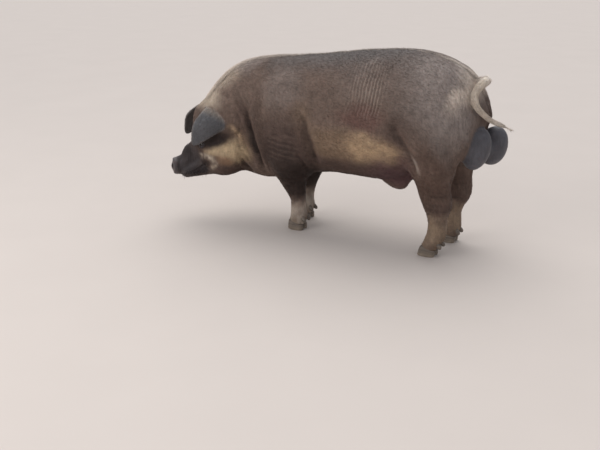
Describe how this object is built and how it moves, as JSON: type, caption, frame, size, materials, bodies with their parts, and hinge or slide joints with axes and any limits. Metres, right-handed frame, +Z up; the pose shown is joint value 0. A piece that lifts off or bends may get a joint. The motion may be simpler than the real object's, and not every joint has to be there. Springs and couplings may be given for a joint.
{
  "type": "pig",
  "caption": "Life-size still model of a mature Duroc-type boar standing on all fours, head low and turned to its left, for display on a floor.",
  "frame": {"origin": "on the floor, under the middle of the animal's box", "axes": "+X towards the tail, -X towards the head, -Y to the animal's own left, +Z up"},
  "size_m": [1.7298, 0.6304, 0.9442],
  "materials": {
    "hide": "short flat bristles, matt",
    "face": "bare wrinkled skin, slightly moist",
    "ear": "thin skin with sparse short hair, matt",
    "tail": "pale sparse bristles, matt",
    "leg": "short dusty hair, matt",
    "slate": "bare wrinkled skin, satin",
    "plum": "soft bare skin, matt",
    "horn": "worn horn, satin",
    "eye": "wet and glossy"
  },
  "bodies": {
    "root": {"trunk": "hide", "neck": "hide", "head": "hide", "snout": "face", "jaw": "face", "ear_left": "ear", "ear_right": "ear", "eye_left": "eye", "eye_right": "eye", "leg_fore_left_upper": "hide", "leg_fore_left_lower": "leg", "leg_fore_right_upper": "hide", "leg_fore_right_lower": "leg", "leg_hind_left_upper": "hide", "leg_hind_left_lower": "leg", "leg_hind_right_upper": "hide", "leg_hind_right_lower": "leg", "hoof_fore_left_inner": "horn", "hoof_fore_left_outer": "horn", "hoof_fore_right_inner": "horn", "hoof_fore_right_outer": "horn", "hoof_hind_left_inner": "horn", "hoof_hind_left_outer": "horn", "hoof_hind_right_inner": "horn", "hoof_hind_right_outer": "horn", "dewclaw_fore_left_inner": "horn", "dewclaw_fore_left_outer": "horn", "dewclaw_fore_right_inner": "horn", "dewclaw_fore_right_outer": "horn", "dewclaw_hind_left_inner": "horn", "dewclaw_hind_left_outer": "horn", "dewclaw_hind_right_inner": "horn", "dewclaw_hind_right_outer": "horn", "tail_base": "tail", "tail_upper": "tail", "tail_lower": "tail", "tail_tip": "tail", "scrotum_left": "slate", "scrotum_right": "slate", "sheath": "plum"}
  },
  "joints": []
}
